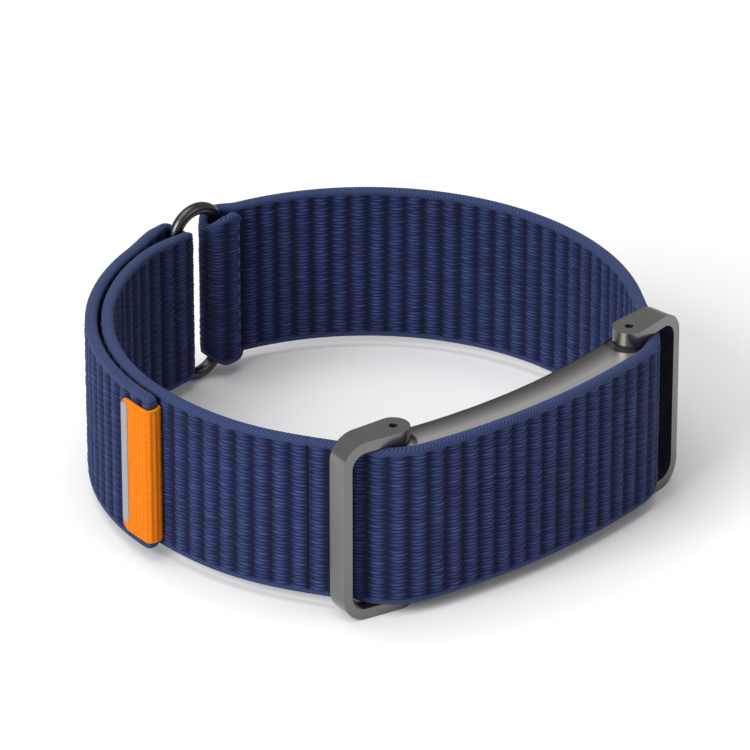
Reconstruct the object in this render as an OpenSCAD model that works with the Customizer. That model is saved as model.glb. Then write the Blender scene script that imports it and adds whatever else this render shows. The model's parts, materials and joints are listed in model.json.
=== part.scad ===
// Wrist-worn activity tracker on a woven strap, all sizes in millimetres.
// The strap's loop is centred on the origin and stands on its edge, +Z is up,
// the tracker lies along X on the -Y side and the keeper ring stands on the +Y side.

/* [Strap] */
// Radius of the worn loop, to the middle of the webbing
loop_r = 33.5; // [30.5:0.5:41]
// Width of the webbing
strap_w = 21; // [17.5:0.1:25.5]
// Thickness of the webbing
strap_t = 1.4; // [1.16:0.02:1.7]
// Room between the two layers where the strap is doubled
layer_gap = 0.6; // [0.55:0.05:0.8]
// Length of the sewn lap inside the fixed loop
lap_len = 2.4; // [2:0.1:4]
// Radius of the bulge over the tracker, to the middle of the webbing
front_r = 88; // [80:1:110]
// Radius of the turn round each bow's boss
turn_r = 8; // [7:0.5:9]

/* [Free end] */
// Angle from the tracker's long axis at which the free end ends
free_to = 179.7; // [176:0.1:184]
// Length of strap that peels off
peel_len = 17.9; // [15:0.1:23]
// Length of the pull tab's outer face
tab_len = 4.9; // [4:0.1:8]
// How far the pull tab stays inside the webbing's lower and upper edges
tab_inset = [1.3, 1.5]; // [0:0.1:4]
// Thickness of the pull tab's webbing
tab_t = 0.5; // [0.4:0.05:0.6]
// Width of the reflective stripe
stripe_w = 1.3; // [0.8:0.1:2]

/* [Keeper ring] */
// Outer width of the ring along the strap
ring_w = 8.7; // [8:0.1:10]
// Room above and below the webbing inside the ring
ring_room = 0.3; // [0.2:0.1:1]
// Diameter of the ring's wire
wire_d = 1.6; // [1.3:0.02:1.94]
// Slack between the wire and the webbing folded round it
fold_gap = 0.3; // [0.25:0.05:0.4]

/* [Bows] */
// Distance between the two hinge pins
pin_span = 38; // [34:0.5:48]
// How far inside the loop's radius the pins stand
pin_inset = 1.38; // [1:0.02:2]
// Sideways place of the tracker from the loop's centre
core_x = 0.6; // [0:0.1:1]
// Room between the webbing and a bow's bar, along the bow
bow_room = 0.55; // [0.5:0.05:2]
// Thickness of the bar
bar_t = 1.15; // [0.9:0.05:1.2]
// Width of the bar
bar_w = 3.1; // [2.6:0.1:3.2]
// Thickness of the arms
arm_t = 1.4; // [1.1:0.1:1.4]
// Diameter of the bosses
boss_d = 4.1; // [3.4:0.02:4.94]
// Height of a boss
boss_h = 2.05; // [1.7:0.05:2.1]
// Outer radius of a bow's corners
bow_round = 3.2; // [2.6:0.1:3.4]
// Angle that a bow leans towards the wrist
bow_lean = 8; // [4:1:9]
// Diameter of the hinge pins
pin_d = 1; // [0.8:0.1:1.2]

/* [Tracker] */
// Room for a washer between a boss and the housing's lug
lug_gap = 0.75; // [0.5:0.05:1]
// Depth of the housing, from the strap side to the wrist side
core_t = 6.1; // [5.6:0.1:7.4]
// Radius along the housing's wrist-side edges
core_round = 2; // [1.5:0.1:2.4]
// Thickness of the housing's front wall
wall_t = 0.9; // [0.7:0.1:1.2]
// Thickness of the back cover
cover_t = 1.1; // [0.9:0.1:1.3]
// Length and height of the sensor window
window_size = [11, 7.4]; // [7:0.2:13]
// How far the sensor bump stands out of the back cover
bump_h = 1; // [0.6:0.1:1.2]

/* [Hidden] */
$fn = 48;
eps = 0.01;
fit = 0.1;             // clearance between pieces that seat in each other
seat = 0.03;           // clearance of a curved piece on the webbing's flats
run_gap = 0.03;        // radial clearance of a bow's bore on its pin
strap_gap = 0.2;       // clearance between the webbing and the metal inside it
step_deg = 3;          // one flat of the webbing's large curves
fold_step = 12;        // one flat of the webbing's folds

bow_h = strap_w + 3;
mid_z = bow_h / 2;
strap_z = mid_z - strap_w / 2;

// Keeper ring: two straight bars joined by half-round ends, opposite the tracker.
arch_r = (ring_w - wire_d) / 2;
ring_h = strap_w + 2 * (wire_d + ring_room);
ring_at = 90;
outer_r = loop_r + 0.1;
inner_r = outer_r - strap_t - layer_gap;
ring_r = (inner_r + outer_r) / 2;
bar_r = norm([ring_r, arch_r]);
bar_turn = atan(arch_r / ring_r);
fold_r = wire_d / 2 + fold_gap + strap_t / 2;
fold_trim = 1.6;       // how much narrower the webbing is where it is squeezed round the wire
fold_blend = 13;       // degrees over which the two layers of the doubled strap come together
lap_blend = 6;         // the same for the sewn lap

// Tracker and bows.
// The pins' place in Y, to a tenth of a millimetre.
pin_y = -round(10 * sqrt(pow(loop_r - pin_inset, 2) - pow(pin_span / 2, 2))) / 10;
boss_r = boss_d / 2;
tuck_gap = 0.2;        // clearance between the tucked webbing and a bow's corners
tuck_w = 2.6;          // half the length of webbing that is tucked in
hug_dir = -52;         // direction in which the webbing hugs a boss
turn_c = [pin_span / 2, pin_y] - (turn_r - boss_r - strap_gap - strap_t / 2) * polar(1, hug_dir);
front_c = [core_x, turn_c[1] + sqrt(pow(front_r - turn_r, 2) - pow(turn_c[0], 2))];
front_dir = atan2(turn_c[1] - front_c[1], turn_c[0]);
turn_right = [core_x + turn_c[0], turn_c[1]];
turn_left = [core_x - turn_c[0], turn_c[1]];
rear_to = atan2(turn_right[1], turn_right[0]) + acos((loop_r - turn_r) / norm(turn_right));
left_end_dir = -150;   // direction in which the left turn ends
front_in = front_r - strap_t / 2 - strap_gap;
back_r = front_in - core_t;
notch_r = boss_r + 0.85;  // clearance recess round each boss
notch_depth = 0.6;
core_h = bow_h - 2 * (boss_h + lug_gap - notch_depth);
core_z = mid_z - core_h / 2;
lug_r = boss_r - 0.1;
ledge = 0.9;           // width of the ledge that the cover's seal lies on
rim = 1.2;             // width of the housing's rim round the cover
cover_half = pin_span / 2 - 3.8;
inner_half = cover_half - ledge;
seal_t = 0.4;
post_r = 1.1;          // posts that the cover's screws go into
screw_r = 0.45;
head_r = 0.75;
screw_len = 4;
cover_in = 0.25;       // how far the cover lies below the housing's wrist side
seal_d = cover_in + cover_t;
floor_z = core_z + rim + ledge;
ceil_z = core_z + core_h - rim - ledge;
board_d = seal_d + seal_t + 0.2;
front_d = [board_d + 0.65, core_t - wall_t - 0.1];  // depth left on the strap side of the main board

// Emitters and detectors behind the window, each in a well of the light shield.
well_size = [2.2, 1.6];
led_places = [[-2.9, 0], [0, 0], [2.9, 0]];
diode_places = [[-1.45, -1.8], [1.45, -1.8], [-1.45, 1.8], [1.45, 1.8]];
optics = concat(led_places, diode_places);

// The free end and what is sewn to it.
peel_at = free_to - peel_len / outer_r * 180 / PI;
hinge_at = polar(outer_r + strap_t / 2, peel_at);
tab_from = free_to - tab_len / outer_r * 180 / PI;
tab_z = strap_z + tab_inset[0];
tab_h = strap_w - tab_inset[0] - tab_inset[1];
lip_len = 2.6;
lip_t = 0.45;
hook_t = 0.4;

function polar(r, a) = [r * cos(a), r * sin(a)];
function mix(a, b, t) = a + (b - a) * t;
function ease(t) = let (u = min(1, max(0, t))) u * u * (3 - 2 * u);
function arc(c, r, a, b, step = step_deg) =
    let (n = max(1, ceil(abs(b - a) / step))) [for (i = [0:n]) c + polar(r, mix(a, b, i / n))];
// A stretch of the loop whose radius eases from r_bar at the ring's bar to r_far away from it.
function eased(bar, r_bar, r_far, a, b, blend = fold_blend, step = step_deg) =
    let (n = ceil(abs(b - a) / step))
    [for (i = [0:n]) let (q = mix(a, b, i / n)) polar(mix(r_bar, r_far, ease(abs(q - bar) / blend)), q)];
function curve(p, q, r, s, n) =
    [for (i = [0:n]) let (t = i / n, u = 1 - t) u * u * u * p + 3 * u * u * t * q + 3 * u * t * t * r + t * t * t * s];
function rest_of(p) = [for (i = [1:len(p) - 1]) p[i]];
function unit(v) = v / norm(v);

// The webbing's middle line in stretches, from the end of the sewn lap to the free end.
right_bar = ring_at - bar_turn;
left_bar = ring_at + bar_turn;
lap_from = right_bar - lap_len / loop_r * 180 / PI;
lap = eased(right_bar, bar_r - fold_r, loop_r - strap_t - fit, lap_from, right_bar, lap_blend, step_deg / 2);
fold_right = arc(polar(bar_r, right_bar), fold_r, right_bar + 180, right_bar, fold_step);
rear_near = eased(right_bar, bar_r + fold_r, loop_r, right_bar, right_bar - lap_blend, lap_blend, step_deg / 2);
rear = concat(rear_near, rest_of(arc([0, 0], loop_r, right_bar - lap_blend, rear_to)));
right_turn = arc(turn_right, turn_r, rear_to, front_dir);
front = arc(front_c, front_r, front_dir, -180 - front_dir, 1.5);
left_turn = arc(turn_left, turn_r, -180 - front_dir, left_end_dir);
layer_from = free_to - 360 + 1.4;
left_leave = turn_left + polar(turn_r, left_end_dir);
left_side = curve(
    left_leave, left_leave + 9 * polar(1, left_end_dir - 90),
    polar(inner_r, layer_from) + 12.5 * polar(1, layer_from + 90), polar(inner_r, layer_from), 12
);
inner_layer = eased(left_bar, bar_r - fold_r, inner_r, layer_from + 360, left_bar);
fold_left = arc(polar(bar_r, left_bar), fold_r, left_bar + 180, left_bar + 360, fold_step);
outer_layer = eased(left_bar, bar_r + fold_r, outer_r, left_bar, peel_at);
free_end = arc([0, 0], outer_r, peel_at, free_to);
run = concat(
    lap, rest_of(fold_right), rest_of(rear), rest_of(right_turn), rest_of(front), rest_of(left_turn),
    rest_of(left_side), rest_of(inner_layer), rest_of(fold_left), rest_of(outer_layer), rest_of(free_end)
);
at_lap = len(lap) - 1;
at_rear = at_lap + len(fold_right) - 1;
at_inner_end = at_rear + len(rear) + len(right_turn) + len(front) + len(left_turn) + len(left_side) + len(inner_layer) - 6;
at_outer = at_inner_end + len(fold_left) - 1;
at_peel = at_outer + len(outer_layer) - 1;
at_end = len(run) - 1;

// A point of the middle line as a bow on one side sees it, x' along its arms, and where the line
// crosses the bar's rear edge there. The bow reaches as far as the webbing needs, to a tenth.
function in_bow(p, side) =
    let (x = side * (p[0] - core_x) - pin_span / 2, y = p[1] - pin_y)
    [x * cos(bow_lean) + y * sin(bow_lean), y * cos(bow_lean) - x * sin(bow_lean)];
crossings = [
    for (side = [-1, 1], i = [0:at_end - 1])
        let (a = in_bow(run[i], side), b = in_bow(run[i + 1], side), edge = bar_w / 2)
        if ((a[1] - edge) * (b[1] - edge) <= 0 && a[0] > 0 && a[0] < 2 * turn_r)
            mix(a[0], b[0], (edge - a[1]) / (b[1] - a[1]))
];
bow_reach = round(10 * (max(crossings) + strap_t / 2 + bow_room + bar_t)) / 10;

function beside(i, d) =
    let (v = unit(run[min(i + 1, at_end)] - run[max(i - 1, 0)])) run[i] + d * [-v[1], v[0]];

// Webbing between two places on its middle line, trimmed by the same amount at both edges.
module webbing(from, to, trim = 0) {
    translate([0, 0, strap_z + trim])
        linear_extrude(strap_w - 2 * trim)
            polygon(concat(
                [for (i = [from:to]) beside(i, strap_t / 2)],
                [for (i = [to:-1:from]) beside(i, -strap_t / 2)]
            ));
}

// A thin layer that follows the loop, from radius r by t outwards.
module layer(r, t, a, b, z, h) {
    translate([0, 0, z])
        rotate([0, 0, a])
            rotate_extrude(angle = b - a, $fn = 200)
                translate([r, 0])
                    square([t, h]);
}

// A block bent along the tracker: d is its depth from the wrist side, x its place along the tracker.
module bent_block(d, x, z) {
    mid_r = back_r + (d[0] + d[1]) / 2;
    a = asin(x[0] / mid_r);
    b = asin(x[1] / mid_r);
    translate([front_c[0], front_c[1], 0])
        rotate([0, 0, a - 90])
            rotate_extrude(angle = b - a, $fn = 200)
                translate([back_r + d[0], z[0]])
                    square([d[1] - d[0], z[1] - z[0]]);
}

// Places children on the wrist side of the tracker, x along it, their +Z towards the wrist.
module on_back(x, z, d = 0) {
    translate([front_c[0], front_c[1], z])
        rotate([0, 0, asin(x / back_r)])
            translate([0, -back_r - d, 0])
                rotate([-90, 0, 0])
                    children();
}

// Places children at the four screws, starting d below the wrist side.
module at_screws(d) {
    for (x = [-1, 1], z = [floor_z + post_r - 0.2, ceil_z - post_r + 0.2])
        on_back(x * (inner_half - post_r + 0.2), z, d)
            children();
}

module rounded_plate(size, r, h) {
    for (x = [-1, 1], y = [-1, 1])
        translate([x * (size[0] / 2 - r), y * (size[1] / 2 - r), 0])
            cylinder(r = r, h = h);
    translate([-size[0] / 2, -size[1] / 2 + r, 0])
        cube([size[0], size[1] - 2 * r, h]);
    translate([-size[0] / 2 + r, -size[1] / 2, 0])
        cube([size[0] - 2 * r, size[1], h]);
}

// The long run of webbing, its edges tucked in where it passes under the bows' rounded corners.
module strap_main() {
    color("midnightblue")
        difference() {
            webbing(at_rear, at_inner_end);
            for (side = [-1, 1])
                at_bow(side)
                    translate([0, tuck_w, 0])
                        rotate([90, 0, 0])
                            linear_extrude(2 * tuck_w)
                                difference() {
                                    translate([bow_reach / 2, -1])
                                        square([bow_reach, bow_h + 2]);
                                    bow_window(tuck_gap);
                                    translate([0, arm_t + bow_round])
                                        square([2 * bow_reach, bow_h - 2 * (arm_t + bow_round)]);
                                }
        }
}

module strap_fixed_loop() {
    color("midnightblue") {
        webbing(0, at_lap);
        webbing(at_lap, at_rear, fold_trim);
    }
}

module strap_return() {
    color("midnightblue") {
        webbing(at_inner_end, at_outer, fold_trim);
        webbing(at_outer, at_peel);
    }
}

module strap_free_end() {
    color("midnightblue")
        webbing(at_peel, at_end);
}

// One column of stitches through the sewn lap, standing on its wrist side.
module loop_stitching() {
    stitches = 11;
    stitch_len = 1.1;
    thread_r = 0.16;
    seam_at = lap_from + 0.8 / loop_r * 180 / PI;
    seam_r = mix(bar_r - fold_r, loop_r - strap_t - fit, ease((right_bar - seam_at) / lap_blend)) - strap_t / 2;
    color("navy")
        for (i = [0:stitches - 1])
            translate([0, 0, mix(strap_z + 1.6, strap_z + strap_w - 1.6, i / (stitches - 1)) - stitch_len / 2])
                translate(polar(seam_r - thread_r - 4 * seat, seam_at))
                    cylinder(r = thread_r, h = stitch_len, $fn = 24);
}

module hook_patch() {
    color("black")
        layer(outer_r - strap_t / 2 - hook_t - seat, hook_t, peel_at + 2, free_to - 9, strap_z + 2, strap_w - 4);
}

// Pull tab folded round the strap's end: a long outer face, a short inner lip and the turn between them.
module pull_tab() {
    outer_face = outer_r + strap_t / 2 + seat;
    inner_face = outer_r - strap_t / 2 - seat;
    end_gap = 0.06 / outer_r * 180 / PI;
    tab_to = free_to + end_gap + tab_t / outer_r * 180 / PI;
    color("darkorange") {
        layer(outer_face, tab_t, tab_from, tab_to, tab_z, tab_h);
        layer(inner_face - lip_t, lip_t, free_to - lip_len / outer_r * 180 / PI, tab_to, tab_z, tab_h);
        layer(inner_face - eps, outer_face - inner_face + 2 * eps, free_to + end_gap, tab_to, tab_z, tab_h);
    }
}

module tab_stripe() {
    color("silver")
        layer(
            outer_r + strap_t / 2 + seat + tab_t, 0.12,
            tab_from + 0.4, tab_from + 0.4 + stripe_w / outer_r * 180 / PI, tab_z + 1.2, tab_h - 1.8
        );
}

module keeper_ring() {
    bar_len = ring_h - 2 * arch_r - wire_d;
    color("dimgray")
        translate([0, ring_r, 0]) {
            for (side = [-1, 1])
                translate([side * arch_r, 0, arch_r + wire_d / 2])
                    cylinder(d = wire_d, h = bar_len);
            for (top = [0, 1])
                translate([0, 0, arch_r + wire_d / 2 + top * bar_len])
                    rotate([90, 0, 0])
                        rotate([0, 0, 180 * (1 - top)])
                            rotate_extrude(angle = 180)
                                translate([arch_r, 0])
                                    circle(d = wire_d);
        }
}

// The space that a bow leaves between its arms and its bar, made smaller all round by gap.
module bow_window(gap = 0) {
    inner_round = bow_round - 1.2;
    low = arm_t + gap;
    high = bow_h - arm_t - gap;
    far = bow_reach - bar_t - gap;
    translate([-boss_r - 1, low])
        square([far - inner_round + boss_r + 1, high - low]);
    translate([0, low + inner_round])
        square([far, high - low - 2 * inner_round]);
    for (z = [low + inner_round, high - inner_round])
        translate([far - inner_round, z])
            circle(r = inner_round);
}

// Side view of a bow, with its pin's axis on x = 0 and its bar at x = bow_reach.
module bow_profile() {
    difference() {
        union() {
            translate([-boss_r, 0])
                square([bow_reach + boss_r - bow_round, bow_h]);
            translate([0, bow_round])
                square([bow_reach, bow_h - 2 * bow_round]);
            for (z = [bow_round, bow_h - bow_round])
                translate([bow_reach - bow_round, z])
                    circle(r = bow_round);
        }
        bow_window();
    }
}

// Plan of a bow: a round boss whose arm tapers to the bar's width.
module bow_plan() {
    taper = asin((boss_r - bar_w / 2) / bow_reach);
    tangent = boss_r * [sin(taper), cos(taper)];
    circle(r = boss_r);
    polygon([tangent, [bow_reach, bar_w / 2], [bow_reach, -bar_w / 2], [tangent[0], -tangent[1]]]);
}

module bow() {
    difference() {
        union() {
            intersection() {
                linear_extrude(bow_h)
                    bow_plan();
                translate([0, boss_r + 1, 0])
                    rotate([90, 0, 0])
                        linear_extrude(2 * boss_r + 2)
                            bow_profile();
            }
            for (z = [0, bow_h - boss_h])
                translate([0, 0, z])
                    cylinder(r = boss_r, h = boss_h);
        }
        translate([0, 0, -1])
            cylinder(r = pin_d / 2 + run_gap, h = bow_h + 2);
    }
}

module at_pin(side) {
    translate([core_x + side * pin_span / 2, pin_y, 0])
        children();
}

// Places a bow's shape at its pin, with its arms pointing away from the tracker.
module at_bow(side) {
    at_pin(side)
        mirror([side < 0 ? 1 : 0, 0, 0])
            rotate([0, 0, bow_lean])
                children();
}

module left_bow() {
    color("slategray")
        at_bow(-1)
            bow();
}

module right_bow() {
    color("slategray")
        at_bow(1)
            bow();
}

module hinge_pin(side) {
    recess = 0.7;
    color("lightslategray")
        at_pin(side)
            translate([0, 0, recess])
                cylinder(d = pin_d, h = bow_h - 2 * recess);
}

module left_hinge_pin() {
    hinge_pin(-1);
}

module right_hinge_pin() {
    hinge_pin(1);
}

// Thin sleeves on the pins between the housing's lugs and the bows' bosses.
module hinge_washers() {
    lug_top = core_z + core_h - notch_depth;
    washer_t = bow_h - boss_h - lug_top - 0.15;
    color("black")
        for (side = [-1, 1], z = [lug_top, bow_h - lug_top - washer_t])
            at_pin(side)
                translate([0, 0, z])
                    difference() {
                        cylinder(r = boss_r - 0.35, h = washer_t);
                        translate([0, 0, -1])
                            cylinder(r = pin_d / 2 + eps, h = washer_t + 2);
                    }
}

// Plan of the housing, held inside the webbing by strap_gap and ending at the pins.
module housing_plan() {
    intersection() {
        translate(front_c)
            circle(r = front_in, $fn = 256);
        union() {
            translate([core_x - turn_c[0], pin_y - 12])
                square([2 * turn_c[0], 20]);
            for (c = [turn_left, turn_right])
                translate(c)
                    circle(r = turn_r - strap_t / 2 - strap_gap);
        }
        translate([core_x - pin_span / 2, pin_y - 12])
            square([pin_span, 20]);
    }
}

// Section of the housing across its length, with its wrist-side edges rounded.
module housing_section() {
    translate([back_r + core_round, 0])
        square([core_t - core_round + 1, core_h]);
    translate([back_r, core_round])
        square([core_round + eps, core_h - 2 * core_round]);
    for (z = [core_round, core_h - core_round])
        translate([back_r + core_round, z])
            circle(r = core_round);
}

module core_housing() {
    sweep = 2 * asin((pin_span / 2 + 3) / back_r);
    color("darkgray")
        difference() {
            union() {
                intersection() {
                    translate([0, 0, core_z])
                        linear_extrude(core_h)
                            housing_plan();
                    translate([front_c[0], front_c[1], core_z])
                        rotate([0, 0, -90 - sweep / 2])
                            rotate_extrude(angle = sweep, $fn = 256)
                                housing_section();
                }
                for (side = [-1, 1])
                    at_pin(side)
                        translate([0, 0, core_z + notch_depth])
                            cylinder(r = lug_r, h = core_h - 2 * notch_depth);
            }
            for (side = [-1, 1])
                at_pin(side) {
                    for (z = [core_z - 1, core_z + core_h - notch_depth])
                        translate([0, 0, z])
                            cylinder(r = notch_r, h = notch_depth + 1);
                    translate([0, 0, -1])
                        cylinder(r = pin_d / 2 + eps, h = bow_h + 2);
                }
            bent_block([-2, seal_d + seal_t], [-cover_half, cover_half], [core_z + rim, core_z + core_h - rim]);
            difference() {
                bent_block([0, core_t - wall_t], [-inner_half, inner_half], [floor_z, ceil_z]);
                at_screws(core_t)
                    cylinder(r = post_r, h = core_t - seal_d - seal_t);
            }
            at_screws(screw_len)
                cylinder(r = screw_r + eps, h = screw_len);
        }
}

module back_cover() {
    color("dimgray")
        difference() {
            union() {
                bent_block(
                    [cover_in, seal_d], [-cover_half + fit, cover_half - fit],
                    [core_z + rim + fit, core_z + core_h - rim - fit]
                );
                on_back(0, mid_z, seal_d)
                    rounded_plate(window_size + [3, 3], 2.4, seal_d + bump_h);
            }
            on_back(0, mid_z, -bump_h + 0.8)
                rounded_plate(window_size + [2 * fit, 2 * fit], 1.6, 2);
            on_back(0, mid_z, seal_d + 1)
                rounded_plate(window_size - [1.4, 1.4], 1, seal_d + bump_h + 2);
            for (z = [-3, 0, 3])
                on_back(11, mid_z + z, 3)
                    cylinder(r = 0.9, h = 5);
            at_screws(3)
                cylinder(r = head_r + eps, h = 5);
        }
}

module cover_seal() {
    color("black")
        difference() {
            bent_block(
                [seal_d + eps, seal_d + seal_t - eps], [-cover_half + fit, cover_half - fit],
                [core_z + rim + fit, core_z + core_h - rim - fit]
            );
            bent_block([seal_d - 1, seal_d + seal_t + 1], [-inner_half, inner_half], [floor_z, ceil_z]);
            at_screws(3)
                cylinder(r = post_r, h = 5);
        }
}

// Four screws through the back cover's corners into the housing's ledge.
module cover_screws() {
    top = screw_len - cover_in - 0.1;
    color("silver")
        at_screws(screw_len)
            difference() {
                union() {
                    cylinder(r = screw_r, h = top - 0.2);
                    translate([0, 0, top - 0.5])
                        cylinder(r = head_r, h = 0.5);
                }
                translate([0, 0, top - 0.25])
                    cylinder(r = 0.35, h = 1, $fn = 6);
            }
}

module sensor_window() {
    color("darkslategray")
        on_back(0, mid_z, -bump_h + 0.8)
            rounded_plate(window_size, 1.5, 0.8);
}

// Light barrier behind the window: one well for each emitter and each detector.
module light_shield() {
    size = window_size - [2, 2];
    color("black")
        on_back(0, mid_z, seal_d - 0.15)
            difference() {
                rounded_plate(size, 0.7, seal_d - 0.15 + bump_h - 0.85);
                for (p = optics)
                    translate([p[0] - well_size[0] / 2, p[1] - well_size[1] / 2, -1])
                        cube([well_size[0], well_size[1], 4]);
            }
}

// Small packages that stand on the sensor board, one in each well.
module packages(places, size) {
    on_back(0, mid_z, seal_d - 0.15)
        for (p = places)
            translate([p[0] - size[0] / 2, p[1] - size[1] / 2, 0])
                cube([size[0], size[1], size[2]]);
}

module leds() {
    color("palegreen")
        packages(led_places, [1.6, 1.2, 0.5]);
}

module photodiodes() {
    color("darkslateblue")
        packages(diode_places, [1.9, 1.3, 0.4]);
}

module sensor_board() {
    color("darkgreen")
        on_back(0, mid_z, seal_d + 0.35)
            rounded_plate(window_size - [1.8, 1.8], 0.9, 0.5);
}

module main_board() {
    color("darkgreen")
        difference() {
            bent_block([board_d, board_d + 0.6], [-inner_half + 0.4, inner_half - 0.4], [floor_z + 0.3, ceil_z - 0.3]);
            at_screws(core_t)
                cylinder(r = post_r + 0.2, h = core_t);
        }
}

module shield_can() {
    color("silver")
        bent_block([front_d[0], front_d[0] + 1.2], [-inner_half + 8.2, -inner_half + 12.4], [floor_z + 1.7, ceil_z - 1.7]);
}

module battery() {
    color("lightgray")
        bent_block(front_d, [-inner_half + 13, inner_half - 2 * post_r - 0.3], [floor_z + 0.6, ceil_z - 0.6]);
}

module haptic_motor() {
    color("gray")
        on_back(-inner_half + 4.2, mid_z, front_d[1])
            cylinder(r = 3.4, h = front_d[1] - front_d[0] - 0.2);
}

module antenna() {
    color("gold")
        bent_block(
            [front_d[0], front_d[1] - 0.3], [-inner_half + 2 * post_r + 0.3, -inner_half + 12.4],
            [ceil_z - 0.55, ceil_z - 0.3]
        );
}

module charge_contacts() {
    color("gold")
        for (z = [-3, 0, 3])
            on_back(11, mid_z + z, seal_d)
                cylinder(r = 0.9 - eps, h = seal_d - cover_in + 0.1);
}

strap_main();
strap_fixed_loop();
strap_return();
strap_free_end();
loop_stitching();
hook_patch();
pull_tab();
tab_stripe();
keeper_ring();
left_bow();
right_bow();
left_hinge_pin();
right_hinge_pin();
hinge_washers();
core_housing();
back_cover();
cover_seal();
cover_screws();
sensor_window();
light_shield();
leds();
photodiodes();
sensor_board();
main_board();
shield_can();
battery();
haptic_motor();
antenna();
charge_contacts();
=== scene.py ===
"""Fitness tracker band: the visible pieces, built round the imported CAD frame.

Lengths are in metres in the CAD model's frame unless a description says millimetres. The loop is
centred on the origin, +Z is up, the tracker lies on the -Y side and the keeper ring on the +Y side.
"""
import json
import logging
import math
from abc import ABC, abstractmethod
from dataclasses import dataclass, field
from enum import Enum
from typing import Optional, Union

import bmesh
import bpy
import numpy as np
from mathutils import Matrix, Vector

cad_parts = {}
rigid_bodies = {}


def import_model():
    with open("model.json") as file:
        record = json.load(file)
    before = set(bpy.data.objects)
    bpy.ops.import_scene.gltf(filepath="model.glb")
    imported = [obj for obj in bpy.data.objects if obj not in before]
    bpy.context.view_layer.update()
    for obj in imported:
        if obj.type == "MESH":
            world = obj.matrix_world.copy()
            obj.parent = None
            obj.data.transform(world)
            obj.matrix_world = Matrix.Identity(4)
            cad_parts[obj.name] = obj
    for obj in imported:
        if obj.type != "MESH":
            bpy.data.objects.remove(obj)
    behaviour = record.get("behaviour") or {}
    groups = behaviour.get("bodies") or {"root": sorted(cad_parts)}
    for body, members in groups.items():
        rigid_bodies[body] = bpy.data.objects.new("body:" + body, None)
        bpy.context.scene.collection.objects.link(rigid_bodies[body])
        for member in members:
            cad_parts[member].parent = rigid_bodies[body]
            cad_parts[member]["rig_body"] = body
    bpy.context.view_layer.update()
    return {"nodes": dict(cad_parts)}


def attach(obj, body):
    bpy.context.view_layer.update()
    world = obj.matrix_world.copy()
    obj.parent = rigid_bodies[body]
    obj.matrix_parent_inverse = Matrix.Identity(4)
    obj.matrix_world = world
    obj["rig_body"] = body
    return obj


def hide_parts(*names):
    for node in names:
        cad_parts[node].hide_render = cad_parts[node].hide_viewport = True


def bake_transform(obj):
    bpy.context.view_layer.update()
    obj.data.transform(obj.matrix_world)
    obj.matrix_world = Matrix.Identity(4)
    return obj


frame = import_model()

MM = 0.001
LOG = logging.getLogger("band")
Colour = tuple[float, float, float]
Point = tuple[float, float]
BLACK: Colour = (0.0, 0.0, 0.0)


# ---------------------------------------------------------------- node trees


class Signal:
    """A number that flows through a node tree, so that node maths reads as Python expressions."""

    def __init__(self, plan: "NodePlan", socket: bpy.types.NodeSocket) -> None:
        """Wraps a socket.

        Args:
            plan: the plan of the tree that the socket is in.
            socket: the output socket that carries the number.
        """
        self.plan = plan
        self.socket = socket

    def __add__(self, other: "Number") -> "Signal":
        """Returns self + other."""
        return self.plan.math("ADD", self, other)

    def __radd__(self, other: float) -> "Signal":
        """Returns other + self."""
        return self.plan.math("ADD", other, self)

    def __sub__(self, other: "Number") -> "Signal":
        """Returns self - other."""
        return self.plan.math("SUBTRACT", self, other)

    def __rsub__(self, other: float) -> "Signal":
        """Returns other - self."""
        return self.plan.math("SUBTRACT", other, self)

    def __mul__(self, other: "Number") -> "Signal":
        """Returns self * other."""
        return self.plan.math("MULTIPLY", self, other)

    def __rmul__(self, other: float) -> "Signal":
        """Returns other * self."""
        return self.plan.math("MULTIPLY", other, self)

    def __truediv__(self, other: "Number") -> "Signal":
        """Returns self / other."""
        return self.plan.math("DIVIDE", self, other)

    def __pow__(self, other: float) -> "Signal":
        """Returns self ** other."""
        return self.plan.math("POWER", self, other)

    def fract(self) -> "Signal":
        """Returns the part behind the decimal point."""
        return self.plan.math("FRACT", self)

    def floor(self) -> "Signal":
        """Returns the whole number below."""
        return self.plan.math("FLOOR", self)

    def sin(self) -> "Signal":
        """Returns the sine of an angle in radians."""
        return self.plan.math("SINE", self)

    def abs(self) -> "Signal":
        """Returns the size without its sign."""
        return self.plan.math("ABSOLUTE", self)

    def clamped(self) -> "Signal":
        """Returns the number kept between 0 and 1."""
        return self.plan.out("ShaderNodeClamp", values={"Value": self})


Number = Union[Signal, float]


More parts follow.
